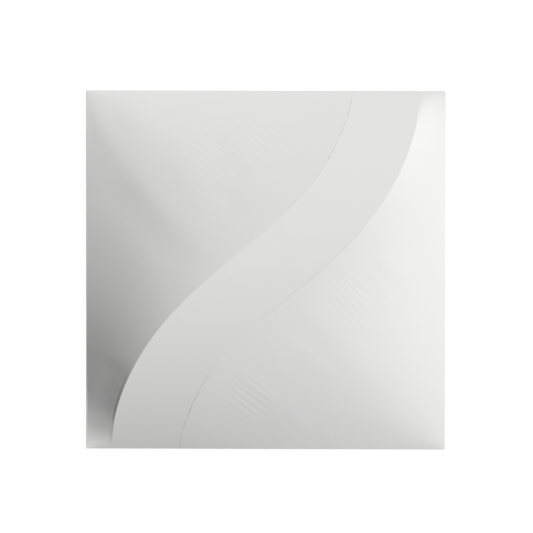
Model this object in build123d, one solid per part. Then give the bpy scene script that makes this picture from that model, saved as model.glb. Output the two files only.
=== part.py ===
from build123d import *

import math
import os

import numpy as np

# Relief wall panel, cast in one piece, lying on its flat back.
# X runs across the panel, Y up the wall and Z out of the wall. The origin is the centre of the flat back.
# An S-shaped band rises as one arch from the top edge and comes down at the bottom edge.
# A folded field fills each side, from the panel's edge up to the band. The relief looks the same after a half turn.
# Below, s runs across a surface and v down the relief, both from 0 to 1.

# Driving dimensions, in millimetres.
SIDE = 500.0
RIM_THICKNESS = 12.0
BAND_RISE = 65.0
# The sides are square to the front for a short way down from the rim, and then lean in to the smaller back.
SQUARE_EDGE = 3.0
BACK_SET_IN = 1.5

# Left edge of the band: its distance from the left of the panel, as control points evenly spaced from top to
# bottom. The first and the last stand twice, so that the edge meets the rim square.
EDGE_TOP = 370.0
EDGE_NECK = 295.0
EDGE_SHOULDER = 380.0
EDGE_WAIST = 51.0
EDGE_HIP = 135.0
EDGE_KNEE = 49.0
EDGE_FOOT = 36.0

# Left field. Part of its height climbs evenly from the rim to the band. This is that part's share at the top and
# at the bottom of the field. The rest rises beside the rim and flattens beyond a soft fold from the top corner.
CLIMB_TOP = 0.63
CLIMB_BOTTOM = 0.065
# How far from the rim the fold lies, how quickly it spreads away from the corner, and how sharp it is.
FOLD_REACH = 0.72
FOLD_SPREAD = 0.64
FOLD_SHARPNESS = 2.5
# Close to the bottom corner the fold comes back to the rim: by how much in all, and how late it does so.
FOLD_RETURN = 0.97
FOLD_RETURN_POWER = 12

# Degrees of the surfaces across and along.
DEGREE_ACROSS = 8
DEGREE_ALONG = 12


def bernstein(degree, t):
    """Values of the Bernstein polynomials of a degree, one row for each t."""
    t = np.atleast_1d(t)[:, None]
    k = np.arange(degree + 1)
    count = np.array([math.comb(degree, int(i)) for i in k])
    return count * t**k * (1.0 - t) ** (degree - k)


def stations(degree):
    """Where a surface is measured between 0 and 1, closer together towards both ends."""
    return 0.5 - 0.5 * np.cos(np.pi * np.arange(degree + 1) / degree)


def edge_distance(v):
    """Distance of the band's left edge from the left of the panel."""
    row = [EDGE_TOP, EDGE_TOP, EDGE_NECK, EDGE_SHOULDER, EDGE_WAIST, EDGE_HIP, EDGE_KNEE, EDGE_FOOT, EDGE_FOOT]
    return (bernstein(len(row) - 1, v.ravel()) @ np.array(row)).reshape(v.shape)


def arch_height(v):
    """Height of the band above the rim: a circular arc from the top edge to the bottom edge."""
    half = SIDE / 2.0
    radius = (half**2 + BAND_RISE**2) / (2.0 * BAND_RISE)
    reach = (2.0 * v - 1.0) * half
    return np.sqrt(radius**2 - reach**2) - (radius - BAND_RISE)


def field_height(s, v):
    """Height of the left field above the rim, from nothing at the rim to the band's height at the band."""
    climb = CLIMB_BOTTOM + (CLIMB_TOP - CLIMB_BOTTOM) * (1.0 - v) ** 2
    fold = FOLD_REACH * (SIDE * v / edge_distance(v)) ** FOLD_SPREAD * (1.0 - FOLD_RETURN * v**FOLD_RETURN_POWER)
    n = FOLD_SHARPNESS
    bent = s * ((1.0 + fold**n) / np.maximum(s**n + fold**n, 1e-12)) ** (1.0 / n)
    return arch_height(v) * (climb * s + (1.0 - climb) * bent)


def left_field(s, v):
    """Points of the left field."""
    half = SIDE / 2.0
    return s * edge_distance(v) - half, half - SIDE * v, RIM_THICKNESS + field_height(s, v)


def right_field(s, v):
    """Points of the right field, which is the left one after a half turn about the middle of the panel."""
    x, y, z = left_field(s, v)
    return -x, -y, z


def band(s, v):
    """Points of the band, from its left edge to its right edge."""
    half = SIDE / 2.0
    left = edge_distance(v) - half
    right = half - edge_distance(1.0 - v)
    return left + s * (right - left), half - SIDE * v, RIM_THICKNESS + arch_height(v)


def patch(surface):
    """Bezier face that passes through a surface at its stations."""
    across, along = stations(DEGREE_ACROSS), stations(DEGREE_ALONG)
    s, v = np.meshgrid(across, along, indexing="ij")
    into_s = np.linalg.inv(bernstein(DEGREE_ACROSS, across))
    into_v = np.linalg.inv(bernstein(DEGREE_ALONG, along))
    poles = np.stack([into_s @ part @ into_v.T for part in surface(s, v)], axis=-1)
    return Face.make_bezier_surface([[Vector(*pole) for pole in line] for line in poles.tolist()])


def side_corners(z, set_in=0.0):
    """Corners of the panel's outline at height z, a side at a time, with one where each edge of the band meets it.

    The first side is the top one, from left to right, and the others follow clockwise. The outline may be set in.
    """
    half = SIDE / 2.0 - set_in
    head, foot = EDGE_TOP - SIDE / 2.0, EDGE_FOOT - SIDE / 2.0
    top = [(-half, half, z), (head, half, z), (-foot, half, z), (half, half, z)]
    right = [(half, half, z), (half, -half, z)]
    bottom = [(-x, -y, height) for x, y, height in top]
    left = [(-x, -y, height) for x, y, height in right]
    return [top, right, bottom, left]


def sides_between(low, high):
    """Flat faces that join one outline to the one above it."""
    rings = [upper + lower[::-1] for lower, upper in zip(low, high)]
    return [Face(Wire.make_polygon(ring, close=True)) for ring in rings]


def side_faces():
    """The leaning sides from the back up, and the square edges above them."""
    back = side_corners(0.0, BACK_SET_IN)
    step = side_corners(RIM_THICKNESS - SQUARE_EDGE)
    return sides_between(back, step) + sides_between(step, side_corners(RIM_THICKNESS))


def back_face():
    """The flat back."""
    corners = [corner for side in side_corners(0.0, BACK_SET_IN) for corner in side[:-1]]
    return Face(Wire.make_polygon(corners, close=True))


def relief_panel():
    """The whole panel as one solid."""
    relief = [patch(left_field), patch(band), patch(right_field)]
    return Solid(Shell([back_face()] + relief + side_faces()))


def main():
    """Write the panel."""
    os.makedirs("parts", exist_ok=True)
    panel = relief_panel()
    panel.label = "relief_panel"
    print("valid", panel.is_valid, "volume", round(panel.volume), "faces", len(panel.faces()))
    print("size", panel.bounding_box().size)
    export_step(panel, "parts/relief_panel.step")


main()
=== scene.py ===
"""A relief wall panel cast in one piece of plaster, lying face up on a pale floor.

Sizes are in metres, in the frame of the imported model: X runs across the panel, Y up the wall and Z out of
the wall, and the origin is the centre of the flat back. On the relief, s runs across a surface and v down
the panel, both from 0 to 1. The main form looks the same after a half turn about Z, but the grooves and the
drawn folds differ from side to side.
"""

import sys

import logging
import math
from dataclasses import dataclass, field
from enum import Enum

import bpy
import numpy as np
from mathutils import Matrix, Vector


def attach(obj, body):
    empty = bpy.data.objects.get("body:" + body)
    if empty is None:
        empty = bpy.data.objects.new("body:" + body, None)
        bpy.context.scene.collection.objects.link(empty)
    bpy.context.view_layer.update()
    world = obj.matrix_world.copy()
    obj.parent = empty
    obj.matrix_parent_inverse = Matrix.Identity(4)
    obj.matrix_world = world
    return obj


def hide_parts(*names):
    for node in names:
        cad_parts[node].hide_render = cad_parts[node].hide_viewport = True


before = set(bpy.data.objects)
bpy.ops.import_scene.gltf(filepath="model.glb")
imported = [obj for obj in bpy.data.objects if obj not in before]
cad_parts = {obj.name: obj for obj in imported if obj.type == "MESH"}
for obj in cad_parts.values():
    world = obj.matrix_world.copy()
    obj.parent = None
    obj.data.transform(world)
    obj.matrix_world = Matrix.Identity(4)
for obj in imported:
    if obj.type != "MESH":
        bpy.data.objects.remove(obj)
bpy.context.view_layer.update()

MM = 0.001
# The wave texture's phase for each unit of its coordinates.
WAVE_PHASE = 20.0
# Points that lie this close to a place count as being there.
NEAR = 0.01 * MM
# The least that a divisor may be.
LEAST_DIVISOR = 1e-12
WHITE = (1.0, 1.0, 1.0, 1.0)

log = logging.getLogger("relief_panel")


class Field(Enum):
    """The two side fields.

    The value is the sign that X and Y take, so the right field is the left one turned.
    """

    LEFT = 1.0
    RIGHT = -1.0


def bernstein_row(degree: int, t: np.ndarray) -> np.ndarray:
    """Give the Bernstein polynomials of one degree.

    Each is the binomial count times t to the power k times one minus t to the power of the degree less k.

    Args:
        degree: the degree of the curve.
        t: places along the curve, from 0 to 1, as a flat array.

    Returns:
        One row for each t, with a column for each of the degree + 1 polynomials.
    """
    k = np.arange(degree + 1)
    count = np.array([math.comb(degree, int(i)) for i in k], float)
    t = t[:, None]
    return count * t**k * (1.0 - t) ** (degree - k)


def smooth_step(start: float, end: float, t: np.ndarray) -> np.ndarray:
    """Rise smoothly from 0 at start to 1 at end.

    The height is three times the square of the way between them, less twice its cube.

    Args:
        start: where the rise begins.
        end: where it is complete.
        t: the places asked for.

    Returns:
        The height of the step at each place.
    """
    way = np.clip((t - start) / (end - start), 0.0, 1.0)
    return way * way * (3.0 - 2.0 * way)


@dataclass(frozen=True)
class BandEdge:
    """Plan of the band's left edge, as distances from the left at control points down the panel.

    Attributes:
        top: distance where the edge leaves the top. It stands twice, so that the edge meets the rim square.
        neck: the second control distance.
        shoulder: the third, where the edge swings back to the right.
        waist: the fourth, where it crosses the panel.
        hip: the fifth.
        knee: the sixth.
        foot: distance where the edge reaches the bottom. It stands twice too.
    """

    top: float = 370.0 * MM
    neck: float = 295.0 * MM
    shoulder: float = 380.0 * MM
    waist: float = 51.0 * MM
    hip: float = 135.0 * MM
    knee: float = 49.0 * MM
    foot: float = 36.0 * MM

    def distance(self, v: np.ndarray) -> np.ndarray:
        """Give the edge's distance from the left, a Bezier curve in v through its own control distances.

        Args:
            v: places down the panel.

        Returns:
            The distance at each place.
        """
        upper = (self.top, self.top, self.neck, self.shoulder, self.waist)
        lower = (self.hip, self.knee, self.foot, self.foot)
        row = np.array(upper + lower)
        return (bernstein_row(len(row) - 1, v.ravel()) @ row).reshape(v.shape)


@dataclass(frozen=True)
class BandArch:
    """The band's rise out of the wall, one circular arc from the top edge to the bottom edge.

    Attributes:
        rise: height of the arc at the middle of the panel, above the rim.
    """

    rise: float = 65.0 * MM

    def height(self, v: np.ndarray, half: float) -> np.ndarray:
        """Give the height above the rim.

        It is the root of the radius squared less the reach squared, less how far the arc's centre is sunk.

        Args:
            v: places down the panel.
            half: half the side of the relief, which is the arc's reach.

        Returns:
            The height at each place, nothing at the top and bottom.
        """
        radius = (half**2 + self.rise**2) / (2.0 * self.rise)
        reach = (2.0 * v - 1.0) * half
        return np.sqrt(radius**2 - reach**2) - (radius - self.rise)


@dataclass(frozen=True)
class FieldFold:
    """How a side field climbs from the rim to the band, with a soft fold that fans out from its corner.

    Attributes:
        climb_top: share of the height that climbs evenly, at the top of the left field.
        climb_bottom: the same share at the bottom.
        reach: how far from the rim the fold lies, as a share of the field's width.
        spread: how quickly the fold leaves the corner.
        sharpness: how tightly the surface bends at the fold.
        come_back: how far the fold comes back to the rim at the bottom corner.
        come_back_power: how late it does so.
    """

    climb_top: float = 0.63
    climb_bottom: float = 0.065
    reach: float = 0.72
    spread: float = 0.64
    sharpness: float = 2.5
    come_back: float = 0.97
    come_back_power: int = 12

    def share(self, s: np.ndarray, v: np.ndarray, slant: np.ndarray) -> np.ndarray:
        """Give the share of the band's height that the field has reached.

        Part of it is s itself, and that part shrinks down the field with the square of the way that is left.
        The rest is s times the n-th root of (1 + fold^n) / (s^n + fold^n), which rises beside the rim and
        flattens beyond the fold.

        Args:
            s: places across the field, 0 at the rim and 1 at the band.
            v: places down the field.
            slant: the distance down from the corner over the field's width there.

        Returns:
            The share, 0 at the rim and 1 at the band.
        """
        climb = self.climb_bottom + (self.climb_top - self.climb_bottom) * (1.0 - v) ** 2
        fold = self.reach * slant**self.spread * (1.0 - self.come_back * v**self.come_back_power)
        n = self.sharpness
        bent = s * ((1.0 + fold**n) / np.maximum(s**n + fold**n, LEAST_DIVISOR)) ** (1.0 / n)
        return climb * s + (1.0 - climb) * bent


@dataclass(frozen=True)
class GrooveRun:
    """One stretch of a groove, which opens out of nothing and closes again.

    Attributes:
        opens: where it opens, as the v at which it starts and the v at which it is full.
        closes: where it closes, as the v at which it begins to and the v at which it has gone.
        share: how much of the groove's full width and depth it reaches.
    """

    opens: tuple[float, float]
    closes: tuple[float, float]
    share: float

    def openness(self, v: np.ndarray) -> np.ndarray:
        """Give how open the run is at each v, its share times a step up and a step down."""
        return self.share * smooth_step(*self.opens, v) * (1.0 - smooth_step(*self.closes, v))


@dataclass(frozen=True)
class JointLine:
    """The hairline groove along one edge of the band, made of runs of its own.

    Attributes:
        runs: the stretches in which it is open.
        width: width where it is widest.
        depth: depth there.
        closed_width: width that is left where the groove is closed.
    """

    runs: tuple[GrooveRun, ...]
    width: float = 0.9 * MM
    depth: float = 1.1 * MM
    closed_width: float = 0.05 * MM

    def openness(self, v: np.ndarray) -> np.ndarray:
        """Give how open the groove is, from 0 to 1, the sum of its runs."""
        return np.sum([run.openness(v) for run in self.runs], axis=0)

    def half_width(self, v: np.ndarray) -> np.ndarray:
        """Give half the groove's width at each v."""
        return 0.5 * (self.closed_width + (self.width - self.closed_width) * self.openness(v))

    def sunk(self, v: np.ndarray) -> np.ndarray:
        """Give the groove's depth at each v."""
        return self.depth * self.openness(v)


class FoldKind(Enum):
    """Kinds of drawn fold.

    The values are millimetres from the crest to the steepest part of a flank, and the slope there. Most are
    read from how far apart the bright and the dark side of such a fold lie in the photo, and from how much
    they differ.
    """

    HAIR = (3.0, 0.02)
    FINE = (5.0, 0.015)
    LOW = (10.0, 0.015)
    FIRM = (10.0, 0.03)
    BROAD = (15.0, 0.015)
    HOLLOW = (15.0, 0.05)
    WIDE = (20.0, 0.025)


@dataclass(frozen=True)
class DrawnFold:
    """A low soft ridge or furrow that the stretched former left in a field.

    Attributes:
        start: one end in plan, in millimetres.
        end: the other end, in millimetres.
        kind: how wide and how steep it is.
        bow: millimetres by which the crest's middle stands left of the straight way from start to end.
        furrow: whether it is sunk.
        fans_out: whether it starts narrow and widens all the way.
    """

    # The share of its width at which a fold that fans out starts.
    START_SHARE = 0.5
    # Where every fold rises and falls, as shares of the way from start to end.
    RISE = (-0.1, 0.2)
    FALL = (0.8, 1.1)

    start: tuple[float, float]
    end: tuple[float, float]
    kind: FoldKind
    bow: float = 0.0
    furrow: bool = False
    fans_out: bool = False

    def relief(self, x: np.ndarray, y: np.ndarray) -> np.ndarray:
        """Give the fold's height: a bell curve across its crest, with a smooth rise and fall along it.

        A bell curve is steepest at its width from the crest. Its height is that width times the slope there
        times the root of e. The crest is a parabola, which stands off by the bow in the middle.

        Args:
            x: places across the panel.
            y: places up the panel.

        Returns:
            The height at each place.
        """
        full_width, slope = self.kind.value
        along_x, along_y = self.end[0] - self.start[0], self.end[1] - self.start[1]
        length = math.hypot(along_x, along_y)
        from_x, from_y = x / MM - self.start[0], y / MM - self.start[1]
        t = (from_x * along_x + from_y * along_y) / length**2
        crest = 4.0 * self.bow * t * (1.0 - t)
        off = (from_y * along_x - from_x * along_y) / length - crest
        narrow = self.START_SHARE if self.fans_out else 1.0
        width = full_width * (narrow + (1.0 - narrow) * np.clip(t, 0.0, 1.0))
        height = slope * width * MM * math.exp(0.5) * (-1.0 if self.furrow else 1.0)
        ends = smooth_step(*self.RISE, t) * (1.0 - smooth_step(*self.FALL, t))
        return height * ends * np.exp(-0.5 * (off / width) ** 2)


# The open stretches of the groove beside each field, and the folds in each field.
LEFT_GROOVE = (
    GrooveRun(opens=(-0.1, 0.0), closes=(0.34, 0.44), share=0.4),
    GrooveRun(opens=(0.0, 0.05), closes=(0.12, 0.26), share=0.5),
)
RIGHT_GROOVE = (
    GrooveRun(opens=(-0.1, 0.0), closes=(0.02, 0.08), share=0.3),
    GrooveRun(opens=(0.33, 0.42), closes=(0.6, 0.66), share=0.5),
    GrooveRun(opens=(0.76, 0.8), closes=(1.1, 1.2), share=0.85),
)
LEFT_FOLDS = (
    # The long ridge out of the top left corner, between a low furrow above it and a wide one below.
    DrawnFold(start=(-255, 245), end=(-90, 40), kind=FoldKind.WIDE, bow=-15, fans_out=True),
    DrawnFold(start=(-230, 250), end=(-185, 175), kind=FoldKind.LOW, furrow=True),
    DrawnFold(start=(-225, 125), end=(-105, 5), kind=FoldKind.WIDE, furrow=True),
    # The shorter ridge that runs down to the middle of the band's edge, and the shallow furrows beside it.
    DrawnFold(start=(-130, 180), end=(-80, 80), kind=FoldKind.BROAD),
    DrawnFold(start=(-50, 115), end=(-45, 75), kind=FoldKind.LOW, furrow=True),
    DrawnFold(start=(-80, 180), end=(-25, 135), kind=FoldKind.LOW, furrow=True),
    # The hollow beside the band's foot, and the faint furrow out of the bottom left corner.
    DrawnFold(start=(-210, -125), end=(-230, -210), kind=FoldKind.HOLLOW, furrow=True),
    DrawnFold(start=(-250, -210), end=(-210, -235), kind=FoldKind.LOW, furrow=True),
)
RIGHT_FOLDS = (
    # Two ridges from the middle of the band's edge towards the bottom right corner.
    DrawnFold(start=(50, -40), end=(155, -165), kind=FoldKind.BROAD, bow=5),
    DrawnFold(start=(35, -95), end=(110, -160), kind=FoldKind.LOW),
    # Short ones nearer to the right edge.
    DrawnFold(start=(155, 25), end=(195, -10), kind=FoldKind.FIRM),
    DrawnFold(start=(140, 10), end=(170, -30), kind=FoldKind.FINE),
    # The long line that runs to the bottom edge.
    DrawnFold(start=(-25, -155), end=(65, -220), kind=FoldKind.LOW),
    DrawnFold(start=(75, -220), end=(100, -245), kind=FoldKind.HAIR),
    # The folds into the top right corner and the bottom right one.
    DrawnFold(start=(215, 215), end=(240, 260), kind=FoldKind.FIRM),
    DrawnFold(start=(230, -195), end=(240, -255), kind=FoldKind.LOW),
)


class Nodes:
    """A node tree with short calls to add nodes and join them."""

    def __init__(self, tree: bpy.types.NodeTree) -> None:
        """Take over a tree and empty it.

        Args:
            tree: the tree of a material or world.
        """
        self.tree = tree
        tree.nodes.clear()

    def add(self, kind: str, **settings: object) -> bpy.types.Node:
        """Add a node.

        Args:
            kind: the node's type name without its Shader prefix.
            settings: properties to set on it.

        Returns:
            The new node.
        """
        node = self.tree.nodes.new("ShaderNode" + kind)
        for name, value in settings.items():
            setattr(node, name, value)
        return node

    def join(self, source: bpy.types.NodeSocket, node: bpy.types.Node, socket: str | int) -> None:
        """Link an output to a node's input.

        Args:
            source: the output socket.
            node: the node that takes it.
            socket: name or number of the input.
        """
        self.tree.links.new(source, node.inputs[socket])

    def calculate(self, operation: str, *values: object) -> bpy.types.NodeSocket:
        """Add a Math node.

        Args:
            operation: the node's operation.
            values: its inputs, each an output socket or a number.

        Returns:
            The node's result.
        """
        node = self.add("Math", operation=operation)
        for i, value in enumerate(values):
            if isinstance(value, bpy.types.NodeSocket):
                self.join(value, node, i)
            else:
                node.inputs[i].default_value = value
        return node.outputs[0]

    def noise(
        self, place: bpy.types.NodeSocket, scale: float, detail: float, lacing: float = 0.0
    ) -> bpy.types.NodeSocket:
        """Add a noise texture.

        Args:
            place: coordinates that it follows.
            scale: waves to a unit of them.
            detail: finer layers on top.
            lacing: how much it is distorted.

        Returns:
            Its grey value.
        """
        node = self.add("TexNoise")
        self.join(place, node, "Vector")
        node.inputs["Scale"].default_value = scale
        node.inputs["Detail"].default_value = detail
        node.inputs["Distortion"].default_value = lacing
        return node.outputs["Fac"]

    def turned(
        self, place: bpy.types.NodeSocket, angle: float, sizes: tuple[float, float]
    ) -> bpy.types.NodeSocket:
        """Turn coordinates about Z, and measure them in units of their own.

        Args:
            place: coordinates to turn.
            angle: the turn of the new X from the old one, in degrees.
            sizes: the new units along X and Y, in metres.

        Returns:
            The new coordinates.
        """
        node = self.add("Mapping", vector_type="TEXTURE")
        node.inputs["Rotation"].default_value = (0.0, 0.0, math.radians(angle))
        node.inputs["Scale"].default_value = (*sizes, 1.0)
        self.join(place, node, "Vector")
        return node.outputs["Vector"]

    def bump(
        self, height: bpy.types.NodeSocket, distance: float, under: bpy.types.NodeSocket | None
    ) -> bpy.types.NodeSocket:
        """Add a bump node at full strength.

        Args:
            height: its height map, from 0 to 1.
            distance: the real height of 1, in metres.
            under: the normal that it lies on, if there is one.

        Returns:
            The bumped normal.
        """
        node = self.add("Bump")
        node.inputs["Distance"].default_value = distance
        self.join(height, node, "Height")
        if under is not None:
            self.join(under, node, "Normal")
        return node.outputs["Normal"]


@dataclass(frozen=True)
class RippleTrain:
    """A patch of fine even ripples, drawn side by side like waves.

    Attributes:
        x: middle of the patch across the panel.
        y: middle up the panel.
        reach: distance from the middle at which it has faded out.
        angle: turn of the ripples' length from X, in degrees.
        height: height of a ripple in the middle of the patch.
    """

    x: float
    y: float
    reach: float
    angle: float
    height: float


@dataclass(frozen=True)
class CastPlaster:
    """Matt white cast plaster, smooth from the mould, with the ripples and waves of a stretched former.

    Where a value is called detail it is how many finer layers lie on a noise, and lacing is how much the
    noise is distorted.

    Attributes:
        colour: the clean colour.
        cloud_colour: the colour of its faint clouds.
        cloud_size: size of a cloud.
        cloud_detail: detail of the clouds.
        roughness: least and most roughness.
        specular: level of its weak shine.
        streak_angle: turn of the faint streaks' length from X, in degrees.
        streak_length: length of a streak.
        streak_width: width of one.
        streak_height: height of one.
        streak_detail: detail of the streaks.
        streak_lacing: their lacing.
        trains: the patches of fine ripples.
        train_core: share of a patch's reach in which its ripples are at full height.
        ripple_width: distance from one ripple to the next.
        ripple_length: distance along a ripple in which it wavers.
        ripple_waver: how strongly it wavers.
        ripple_waver_scale: how finely it wavers.
        wave_size: size of the soft waves.
        wave_height: their height.
        wave_detail: their detail.
        grain_size: size of the plaster's grain.
        grain_height: its height.
        grain_detail: its detail.
        pit_spacing: mean distance between places for a pinhole.
        pit_radius: largest radius of a pinhole.
        pit_depth: its depth.
        pit_above: random value of a place, from 0 to 1, above which it has a pinhole.
        no_pit: radius where there is none, as a share of the spacing, so that nothing is divided by zero.
        pit_power: how steeply its wall falls to the middle.
        back_below: height under which the surface counts as the back.
        trowel_size: size of the trowel marks on the back.
        trowel_height: their height.
        trowel_detail: their detail.
        trowel_lacing: their lacing.
    """

    colour: tuple[float, float, float] = (0.862, 0.862, 0.855)
    cloud_colour: tuple[float, float, float] = (0.846, 0.847, 0.842)
    cloud_size: float = 70.0 * MM
    cloud_detail: float = 3.0
    roughness: tuple[float, float] = (0.78, 0.9)
    specular: float = 0.2
    streak_angle: float = -38.0
    streak_length: float = 45.0 * MM
    streak_width: float = 6.0 * MM
    streak_height: float = 0.06 * MM
    streak_detail: float = 1.5
    streak_lacing: float = 0.25
    trains: tuple[RippleTrain, ...] = (
        RippleTrain(x=-20.0 * MM, y=-177.0 * MM, reach=46.0 * MM, angle=-36.0, height=0.12 * MM),
        RippleTrain(x=-5.0 * MM, y=180.0 * MM, reach=60.0 * MM, angle=-38.0, height=0.07 * MM),
        RippleTrain(x=-70.0 * MM, y=165.0 * MM, reach=75.0 * MM, angle=-35.0, height=0.07 * MM),
        RippleTrain(x=122.0 * MM, y=-32.0 * MM, reach=60.0 * MM, angle=-46.0, height=0.09 * MM),
    )
    train_core: float = 0.2
    ripple_width: float = 9.0 * MM
    ripple_length: float = 60.0 * MM
    ripple_waver: float = 3.5
    ripple_waver_scale: float = 2.0
    wave_size: float = 45.0 * MM
    wave_height: float = 0.12 * MM
    wave_detail: float = 1.0
    grain_size: float = 0.7 * MM
    grain_height: float = 0.006 * MM
    grain_detail: float = 3.0
    pit_spacing: float = 9.0 * MM
    pit_radius: float = 0.3 * MM
    pit_depth: float = 0.15 * MM
    pit_above: float = 0.6
    no_pit: float = 0.0001
    pit_power: float = 2.0
    back_below: float = 0.5 * MM
    trowel_size: float = 14.0 * MM
    trowel_height: float = 0.25 * MM
    trowel_detail: float = 4.0
    trowel_lacing: float = 1.2

    def streaks(self, nodes: Nodes, place: bpy.types.NodeSocket) -> bpy.types.NodeSocket:
        """Give the faint streaks' height map, a noise stretched along them.

        Args:
            nodes: the material's nodes.
            place: Object coordinates.

        Returns:
            The height map, from 0 to 1.
        """
        along = nodes.turned(place, self.streak_angle, (self.streak_length, self.streak_width))
        return nodes.noise(along, 1.0, self.streak_detail, self.streak_lacing)

    def ripples(self, nodes: Nodes, place: bpy.types.NodeSocket, train: RippleTrain) -> bpy.types.NodeSocket:
        """Give the height map of one patch of ripples, a wavering sine wave times the fade of the patch.

        Args:
            nodes: the material's nodes.
            place: Object coordinates.
            train: the patch.

        Returns:
            The height map, from 0 to 1.
        """
        wave = nodes.add("TexWave", bands_direction="Y")
        nodes.join(nodes.turned(place, train.angle, (self.ripple_length, self.ripple_width)), wave, "Vector")
        wave.inputs["Scale"].default_value = 2.0 * math.pi / WAVE_PHASE
        wave.inputs["Distortion"].default_value = self.ripple_waver
        wave.inputs["Detail"].default_value = 0.0
        wave.inputs["Detail Scale"].default_value = self.ripple_waver_scale
        gap = nodes.add("VectorMath", operation="DISTANCE")
        flat = nodes.add("VectorMath", operation="MULTIPLY")
        flat.inputs[1].default_value = (1.0, 1.0, 0.0)
        nodes.join(place, flat, 0)
        nodes.join(flat.outputs["Vector"], gap, 0)
        gap.inputs[1].default_value = (train.x, train.y, 0.0)
        near = nodes.add("MapRange", interpolation_type="SMOOTHSTEP")
        nodes.join(gap.outputs["Value"], near, "Value")
        near.inputs["From Min"].default_value = self.train_core * train.reach
        near.inputs["From Max"].default_value = train.reach
        near.inputs["To Min"].default_value = 1.0
        near.inputs["To Max"].default_value = 0.0
        return nodes.calculate("MULTIPLY", wave.outputs["Fac"], near.outputs[0])

    def pits(self, nodes: Nodes, place: bpy.types.NodeSocket) -> bpy.types.NodeSocket:
        """Give the pinholes' height map, 1 on the face and 0 in the middle of a pinhole.

        The pinholes stand at the centres of some of the cells of a Voronoi texture. The height is the
        distance from the centre over the pinhole's radius, to a power, and 1 at most.

        Args:
            nodes: the material's nodes.
            place: Object coordinates.

        Returns:
            The height map.
        """
        cells = nodes.add("TexVoronoi")
        nodes.join(place, cells, "Vector")
        cells.inputs["Scale"].default_value = 1.0 / self.pit_spacing
        parts = nodes.add("SeparateColor")
        nodes.join(cells.outputs["Color"], parts, "Color")
        radius = nodes.add("MapRange")
        nodes.join(parts.outputs["Red"], radius, "Value")
        radius.inputs["From Min"].default_value = self.pit_above
        radius.inputs["From Max"].default_value = 1.0
        radius.inputs["To Min"].default_value = self.no_pit
        radius.inputs["To Max"].default_value = self.pit_radius / self.pit_spacing
        ratio = nodes.calculate("DIVIDE", cells.outputs["Distance"], radius.outputs[0])
        return nodes.calculate("MINIMUM", nodes.calculate("POWER", ratio, self.pit_power), 1.0)

    def build(self) -> bpy.types.Material:
        """Build the material.

        Returns:
            The finished plaster.
        """
        material = bpy.data.materials.new("cast_plaster")
        material.use_nodes = True
        nodes = Nodes(material.node_tree)
        place = nodes.add("TexCoord").outputs["Object"]
        shader = nodes.add("BsdfPrincipled")
        shader.inputs["Specular IOR Level"].default_value = self.specular
        out = nodes.add("OutputMaterial")
        nodes.join(shader.outputs[0], out, "Surface")

        cloud = nodes.noise(place, 1.0 / self.cloud_size, self.cloud_detail)
        tint = nodes.add("Mix", data_type="RGBA")
        nodes.join(cloud, tint, "Factor")
        tint.inputs["A"].default_value = (*self.colour, 1.0)
        tint.inputs["B"].default_value = (*self.cloud_colour, 1.0)
        nodes.join(tint.outputs["Result"], shader, "Base Color")

        grain = nodes.noise(place, 1.0 / self.grain_size, self.grain_detail)
        matt = nodes.add("MapRange")
        nodes.join(grain, matt, "Value")
        matt.inputs["To Min"].default_value = self.roughness[0]
        matt.inputs["To Max"].default_value = self.roughness[1]
        nodes.join(matt.outputs[0], shader, "Roughness")

        parts = nodes.add("SeparateXYZ")
        nodes.join(place, parts, "Vector")
        back = nodes.calculate("LESS_THAN", parts.outputs["Z"], self.back_below)
        marks = nodes.noise(place, 1.0 / self.trowel_size, self.trowel_detail, self.trowel_lacing)
        trowel = nodes.calculate("MULTIPLY", marks, back)
        face = nodes.calculate("SUBTRACT", 1.0, back)
        waves = nodes.calculate("MULTIPLY", nodes.noise(place, 1.0 / self.wave_size, self.wave_detail), face)
        streaks = nodes.calculate("MULTIPLY", self.streaks(nodes, place), face)
        normal = nodes.bump(waves, self.wave_height, None)
        normal = nodes.bump(streaks, self.streak_height, normal)
        for train in self.trains:
            ripples = nodes.calculate("MULTIPLY", self.ripples(nodes, place, train), face)
            normal = nodes.bump(ripples, train.height, normal)
        normal = nodes.bump(trowel, self.trowel_height, normal)
        normal = nodes.bump(self.pits(nodes, place), self.pit_depth, normal)
        normal = nodes.bump(grain, self.grain_height, normal)
        nodes.join(normal, shader, "Normal")
        return material


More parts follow.
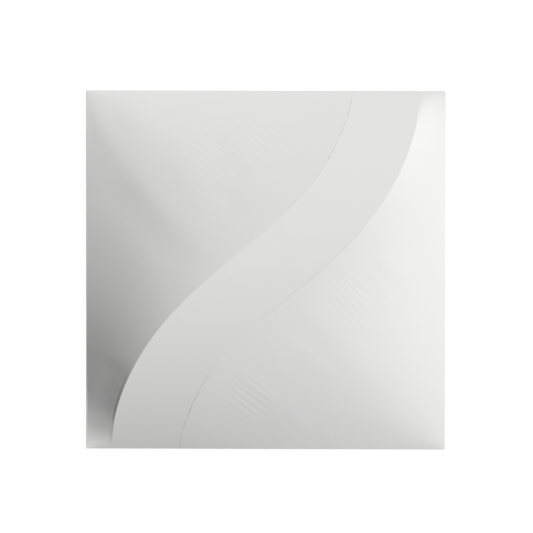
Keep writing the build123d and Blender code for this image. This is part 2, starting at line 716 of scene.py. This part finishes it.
@dataclass
class ReliefPanel:
    """The whole casting: two fields and the band, which rise from the panel's edges, over a flat back.

    Attributes:
        side: side of the square panel.
        rim: thickness at the rim.
        square_edge: height of the part of the side that is square to the front, from the rim down.
        set_in: how far the back is set in, so that the sides lean in below the square edge.
        arris: how far the outer edges are eased.
        arris_turns: where the eased front edge has a ring, as turns from the front in degrees.
        edge: plan of the band's left edge.
        arch: rise of the band.
        fold: form of the side fields.
        joints: the groove beside each field.
        folds: the drawn folds in each field.
        clear: how far from the rim and the band the drawn folds fade out, as shares of a field's width.
        rows: steps down the panel.
        field_steps: steps across each field.
        band_steps: steps across the band.
        back_rings: rings in the flat back, each as its share of the half side.
        plaster: the finish.
    """

    side: float = 500.0 * MM
    rim: float = 12.0 * MM
    square_edge: float = 3.0 * MM
    set_in: float = 1.5 * MM
    arris: float = 0.5 * MM
    arris_turns: tuple[float, ...] = (30.0, 60.0, 90.0)
    edge: BandEdge = field(default_factory=BandEdge)
    arch: BandArch = field(default_factory=BandArch)
    fold: FieldFold = field(default_factory=FieldFold)
    joints: dict[Field, JointLine] = field(
        default_factory=lambda: {Field.LEFT: JointLine(LEFT_GROOVE), Field.RIGHT: JointLine(RIGHT_GROOVE)}
    )
    folds: dict[Field, tuple[DrawnFold, ...]] = field(
        default_factory=lambda: {Field.LEFT: LEFT_FOLDS, Field.RIGHT: RIGHT_FOLDS}
    )
    clear: tuple[float, float] = (0.04, 0.1)
    rows: int = 280
    field_steps: int = 144
    band_steps: int = 28
    back_rings: tuple[float, ...] = (0.8, 0.4)
    plaster: CastPlaster = field(default_factory=CastPlaster)

    @property
    def half(self) -> float:
        """Half the side of the panel."""
        return self.side / 2.0

    def field_points(self, which: Field, v: np.ndarray) -> np.ndarray:
        """Work out one field on a grid.

        A point is s times the edge's distance across. Its height is the band's height times the fold's
        share, with the drawn folds on top. The field stops half a groove short of the band.

        Args:
            which: the left or the right field.
            v: the rows, down the panel.

        Returns:
            Points, one row for each v and one column for each step, from left to right.
        """
        down = v if which is Field.LEFT else 1.0 - v
        width = self.edge.distance(down)
        t = np.linspace(0.0, 1.0, self.field_steps + 1)[None, :]
        lip = self.joints[which].half_width(v)[:, None]
        down, width = down[:, None], width[:, None]
        s = t * (1.0 - lip / width)
        share = self.fold.share(s, down, self.side * down / width)
        x = which.value * (s * width - self.half)
        y = np.broadcast_to(which.value * (self.half - self.side * down), x.shape)
        z = self.rim + self.arch.height(down, self.half) * share + self.drawn(which, s, x, y)
        points = np.stack([x, y, z], axis=-1)
        return points if which is Field.LEFT else points[:, ::-1]

    def drawn(self, which: Field, s: np.ndarray, x: np.ndarray, y: np.ndarray) -> np.ndarray:
        """Add up a field's drawn folds, which fade out towards the panel's edges and the band.

        Args:
            which: the left or the right field.
            s: places across the field.
            x: places across the panel.
            y: places up the panel.

        Returns:
            The height to add at each place.
        """
        near_rim, near_band = self.clear
        inside = smooth_step(0.0, near_rim, s) * (1.0 - smooth_step(1.0 - near_band, 1.0, s))
        inside = inside * smooth_step(0.0, near_rim, 0.5 - np.abs(y) / self.side)
        return inside * np.sum([fold.relief(x, y) for fold in self.folds[which]], axis=0)

    def groove_points(self, which: Field, v: np.ndarray) -> np.ndarray:
        """Work out the bottom line of a groove.

        It follows the band's edge, at the arch's height less the groove's depth.

        Args:
            which: the groove beside the left or the right field.
            v: the rows, down the panel.

        Returns:
            Points, one row for each v and a single column.
        """
        down = v if which is Field.LEFT else 1.0 - v
        x = which.value * (self.edge.distance(down) - self.half)
        y = self.half - self.side * v
        z = self.rim + self.arch.height(down, self.half) - self.joints[which].sunk(v)
        return np.stack([x, y, z], axis=-1)[:, None, :]

    def band_points(self, v: np.ndarray) -> np.ndarray:
        """Work out the band on a grid, straight across from one edge to the other at the arch's height.

        Args:
            v: the rows, down the panel.

        Returns:
            Points, one row for each v and one column for each step from left to right.
        """
        left = self.edge.distance(v) - self.half + self.joints[Field.LEFT].half_width(v)
        right = self.half - self.edge.distance(1.0 - v) - self.joints[Field.RIGHT].half_width(v)
        t = np.linspace(0.0, 1.0, self.band_steps + 1)[None, :]
        x = left[:, None] + t * (right - left)[:, None]
        y = np.broadcast_to((self.half - self.side * v)[:, None], x.shape)
        z = np.broadcast_to((self.rim + self.arch.height(v, self.half))[:, None], x.shape)
        return np.stack([x, y, z], axis=-1)

    def relief_points(self) -> np.ndarray:
        """Set the five parts of the relief side by side.

        In plan the relief stands back by the eased edge, so that the edge ends on the panel's outline.

        Returns:
            One grid of points for the whole relief, with rows down the panel and columns across it.
        """
        v = np.linspace(0.0, 1.0, self.rows + 1)
        parts = (
            self.field_points(Field.LEFT, v),
            self.groove_points(Field.LEFT, v),
            self.band_points(v),
            self.groove_points(Field.RIGHT, v),
            self.field_points(Field.RIGHT, v),
        )
        inwards = 1.0 - self.arris / self.half
        return np.concatenate(parts, axis=1) * (inwards, inwards, 1.0)

    def crease_columns(self) -> np.ndarray:
        """Give the columns of the relief's grid that are crisp: both lips and the bottom of each groove."""
        first = self.field_steps
        second = first + 2 + self.band_steps
        return np.array([first, first + 1, first + 2, second, second + 1, second + 2])

    def rim_rings(self, outline: np.ndarray) -> np.ndarray:
        """Carry the relief's outline over the rim, down the sides and in under the back.

        Each ring is the outline scaled about the middle, at its own height. The front edge is a quarter
        round, the arris times the sine and cosine of the turn, which sinks with the outline where a groove
        runs out. The side then drops square and leans in to the back, whose edge is a short chamfer.

        Args:
            outline: points round the relief, counterclockwise from above.

        Returns:
            The rings in order, one row of points for each.
        """
        outer = self.half
        inner = outer - self.set_in
        turn = np.radians(self.arris_turns)
        below = np.array([self.rim - self.square_edge, self.arris, 0.0])
        reach = np.concatenate(
            [
                outer - self.arris * (1.0 - np.sin(turn)),
                [outer, inner, inner - self.arris],
                inner * np.array(self.back_rings),
            ]
        )
        height = np.concatenate(
            [self.rim - self.arris * (1.0 - np.cos(turn)), below, np.zeros(len(self.back_rings))]
        )
        rings = outline[None, :, :2] * (reach / (outer - self.arris))[:, None, None]
        sunk = np.where(height > below[0], 1.0, 0.0)[:, None] * (outline[:, 2] - self.rim)
        return np.concatenate([rings, (height[:, None] + sunk)[:, :, None]], axis=2)

    def mesh(self) -> bpy.types.Mesh:
        """Join the relief, the sides and the back into one closed mesh, with crisp creases.

        Returns:
            The mesh, with its faces pointing outwards.
        """
        relief = self.relief_points()
        tall, wide = relief.shape[:2]
        grid = np.arange(tall * wide).reshape(tall, wide)
        border = np.concatenate([grid[-1, :-1], grid[:0:-1, -1], grid[0, :0:-1], grid[:-1, 0]])
        flat = relief.reshape(-1, 3)
        rings = self.rim_rings(flat[border])
        around = rings.shape[1]
        ring_ids = tall * wide + np.arange(rings.shape[0] * around).reshape(rings.shape[0], around)
        rows = np.concatenate([border[None, :], ring_ids], axis=0)
        centre = tall * wide + rings.shape[0] * around
        points = np.concatenate([flat, rings.reshape(-1, 3), np.zeros((1, 3))])

        a, b = grid[:-1, :-1], grid[1:, :-1]
        c, d = grid[1:, 1:], grid[:-1, 1:]
        front = np.stack([a, b, c, d], axis=-1).reshape(-1, 4)
        following = np.roll(rows, -1, axis=1)
        hoops = np.stack([rows[:-1], rows[1:], following[1:], following[:-1]], axis=-1).reshape(-1, 4)
        fan = np.stack([rows[-1], np.full(around, centre), following[-1]], axis=-1)

        mesh = bpy.data.meshes.new("relief_panel_plaster")
        faces = np.concatenate([front, hoops]).tolist() + fan.tolist()
        mesh.from_pydata(points.tolist(), [], faces)
        self.crease(mesh, wide, tall * wide, border)
        mesh.update()
        return mesh

    def crease(self, mesh: bpy.types.Mesh, wide: int, relief_count: int, border: np.ndarray) -> None:
        """Shade the mesh smooth and mark its crisp edges: the grooves' lines and the relief's outline.

        Args:
            mesh: the joined mesh.
            wide: columns of the relief's grid.
            relief_count: points of the relief, which come first in the mesh.
            border: the points on the relief's outline.
        """
        mesh.polygons.foreach_set("use_smooth", np.ones(len(mesh.polygons), bool))
        ends = np.zeros(len(mesh.edges) * 2, np.int32)
        mesh.edges.foreach_get("vertices", ends)
        ends = ends.reshape(-1, 2)
        on_relief = (ends < relief_count).all(axis=1)
        column = ends % wide
        along = on_relief & (column[:, 0] == column[:, 1]) & np.isin(column[:, 0], self.crease_columns())
        outline = np.isin(ends, border).all(axis=1)
        sharp = mesh.attributes.new("sharp_edge", "BOOLEAN", "EDGE")
        sharp.data.foreach_set("value", along | outline | self.side_lines(mesh, ends))

    def side_lines(self, mesh: bpy.types.Mesh, ends: np.ndarray) -> np.ndarray:
        """Pick the crisp edges of the sides.

        They are the foot of the square edge, both lines of the back's chamfer and the upright corners. The
        edges that run down a flat side from the square edge to the chamfer count too, and change nothing.

        Args:
            mesh: the joined mesh.
            ends: the two points of each edge.

        Returns:
            True for each crisp edge.
        """
        place = np.zeros(len(mesh.vertices) * 3, np.float32)
        mesh.vertices.foreach_get("co", place)
        place = place.reshape(-1, 3)
        rim = np.abs(place[:, 2, None] - [self.rim - self.square_edge, self.arris]).min(axis=1) < NEAR
        outwards = np.abs(place[:, :2]).max(axis=1)
        foot = (place[:, 2] < NEAR) & (outwards > self.half - self.set_in - 2.0 * self.arris)
        corner = np.abs(np.abs(place[:, 0]) - np.abs(place[:, 1])) < NEAR
        upright = corner & (place[:, 2] < self.rim - NEAR)
        return rim[ends].all(axis=1) | foot[ends].all(axis=1) | upright[ends].all(axis=1)

    def build(self) -> bpy.types.Object:
        """Build the panel's piece, dress it and tie it to the frame.

        Returns:
            The piece, which stands for the CAD panel.
        """
        piece = bpy.data.objects.new("relief_panel_plaster", self.mesh())
        bpy.context.scene.collection.objects.link(piece)
        piece.data.materials.append(self.plaster.build())
        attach(piece, "root")
        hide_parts("relief_panel")
        return piece


class SeenDirectly:
    """The rays that see a white background.

    They come straight from the camera, by reflection or through something clear.
    """

    OUTPUTS = ("Is Camera Ray", "Is Glossy Ray", "Is Transmission Ray")

    def mask(self, nodes: Nodes) -> bpy.types.NodeSocket:
        """Add the nodes.

        Args:
            nodes: the nodes of a material or world.

        Returns:
            1 for such a ray and 0 for one that only carries light.
        """
        path = nodes.add("LightPath")
        mask = path.outputs[self.OUTPUTS[0]]
        for name in self.OUTPUTS[1:]:
            mask = nodes.calculate("MAXIMUM", mask, path.outputs[name])
        return mask


@dataclass(frozen=True)
class PaleFloor:
    """A plain white floor, nearly all background to the camera, that still takes the panel's soft shadow.

    Attributes:
        width: side of the square floor.
        drop: how far it lies below the panel's back, so that the two don't share a plane.
        colour: its colour.
        bounce: its colour to light that goes on to the panel.
        share: how much of what the camera sees is the plain white background.
        white: strength of that background.
    """

    width: float = 12.0
    drop: float = 0.2 * MM
    colour: tuple[float, float, float] = (0.86, 0.86, 0.86)
    bounce: tuple[float, float, float] = (0.05, 0.05, 0.05)
    share: float = 0.9
    white: float = 1.09

    def material(self) -> bpy.types.Material:
        """Build the floor's material.

        Returns:
            A matt white that turns mostly to background where it is seen directly.
        """
        material = bpy.data.materials.new("pale_floor")
        material.use_nodes = True
        nodes = Nodes(material.node_tree)
        seen = SeenDirectly().mask(nodes)
        tint = nodes.add("Mix", data_type="RGBA")
        nodes.join(seen, tint, "Factor")
        tint.inputs["A"].default_value = (*self.bounce, 1.0)
        tint.inputs["B"].default_value = (*self.colour, 1.0)
        matt = nodes.add("BsdfDiffuse")
        nodes.join(tint.outputs["Result"], matt, "Color")
        white = nodes.add("Emission")
        white.inputs["Strength"].default_value = self.white
        mix = nodes.add("MixShader")
        nodes.join(nodes.calculate("MULTIPLY", seen, self.share), mix, 0)
        nodes.join(matt.outputs[0], mix, 1)
        nodes.join(white.outputs[0], mix, 2)
        nodes.join(mix.outputs[0], nodes.add("OutputMaterial"), "Surface")
        return material

    def build(self) -> bpy.types.Object:
        """Lay the floor.

        Returns:
            The floor, which is not tied to the panel's frame.
        """
        half = self.width / 2.0
        low = -self.drop
        corners = [(-half, -half, low), (half, -half, low), (half, half, low), (-half, half, low)]
        mesh = bpy.data.meshes.new("floor")
        mesh.from_pydata(corners, [], [(0, 1, 2, 3)])
        mesh.materials.append(self.material())
        floor = bpy.data.objects.new("floor", mesh)
        bpy.context.scene.collection.objects.link(floor)
        return floor


@dataclass(frozen=True)
class StudioLight:
    """One broad soft lamp from the upper right, and a dim even sky.

    Attributes:
        towards: direction from the panel to the lamp.
        strength: strength of the lamp.
        softness: how wide the lamp looks from the panel, in degrees.
        sky: strength of the sky on the panel.
    """

    towards: tuple[float, float, float] = (0.606, 0.314, 0.731)
    strength: float = 3.28
    softness: float = 24.0
    sky: float = 0.062

    def build(self) -> bpy.types.Object:
        """Set up the lamp and the sky.

        Returns:
            The lamp.
        """
        data = bpy.data.lights.new("soft_lamp", "SUN")
        data.energy = self.strength
        data.angle = math.radians(self.softness)
        lamp = bpy.data.objects.new("soft_lamp", data)
        lamp.rotation_mode = "QUATERNION"
        lamp.rotation_quaternion = Vector(self.towards).to_track_quat("Z", "Y")
        bpy.context.scene.collection.objects.link(lamp)

        world = bpy.data.worlds.new("studio")
        world.use_nodes = True
        bpy.context.scene.world = world
        nodes = Nodes(world.node_tree)
        sky = nodes.add("Background")
        sky.inputs["Strength"].default_value = self.sky
        sky.inputs["Color"].default_value = WHITE
        white = nodes.add("Background")
        white.inputs["Color"].default_value = WHITE
        mix = nodes.add("MixShader")
        nodes.join(SeenDirectly().mask(nodes), mix, 0)
        nodes.join(sky.outputs[0], mix, 1)
        nodes.join(white.outputs[0], mix, 2)
        nodes.join(mix.outputs[0], nodes.add("OutputWorld"), "Surface")
        return lamp


@dataclass(frozen=True)
class FrontCamera:
    """A long lens over the face of the panel, a little above its middle and a touch to the right.

    Attributes:
        aim: the point at the middle of the picture.
        leans: how far the camera stands off to the right and up, for each metre out from the panel.
        distance: distance from the aim to the camera.
        frame_width: width of the picture at the aim.
        roll: turn of the camera about its own line of sight, in degrees.
        clip: the nearest and the farthest distance that it sees.
    """

    aim: tuple[float, float, float] = (1.1 * MM, 5.2 * MM, 12.0 * MM)
    leans: tuple[float, float] = (0.0192, 0.0828)
    distance: float = 15.0
    frame_width: float = 742.0 * MM
    roll: float = 0.06
    clip: tuple[float, float] = (0.1, 100.0)

    def build(self) -> bpy.types.Object:
        """Place the camera and make it the scene's own.

        Returns:
            The camera.
        """
        data = bpy.data.cameras.new("front_camera")
        data.lens = data.sensor_width * self.distance / self.frame_width
        data.clip_start, data.clip_end = self.clip
        camera = bpy.data.objects.new("front_camera", data)
        back = Vector((*self.leans, 1.0)).normalized()
        right = Vector((0.0, 1.0, 0.0)).cross(back).normalized()
        turn = Matrix((right, back.cross(right), back)).transposed().to_4x4()
        roll = Matrix.Rotation(math.radians(self.roll), 4, "Z")
        camera.matrix_world = Matrix.Translation(Vector(self.aim) + back * self.distance) @ turn @ roll
        bpy.context.scene.collection.objects.link(camera)
        bpy.context.scene.camera = camera
        return camera


def main() -> None:
    """Build the panel, then the floor, the light and the camera, and report each piece."""
    logging.basicConfig(level=logging.INFO, format="%(name)s: %(message)s", stream=sys.stdout)
    bpy.context.scene.view_settings.view_transform = "Standard"
    panel = ReliefPanel().build()
    log.info("piece %s has %d faces", panel.name, len(panel.data.polygons))
    for part in (PaleFloor(), StudioLight(), FrontCamera()):
        log.info("studio has %s", part.build().name)


if __name__ == "__main__":
    main()
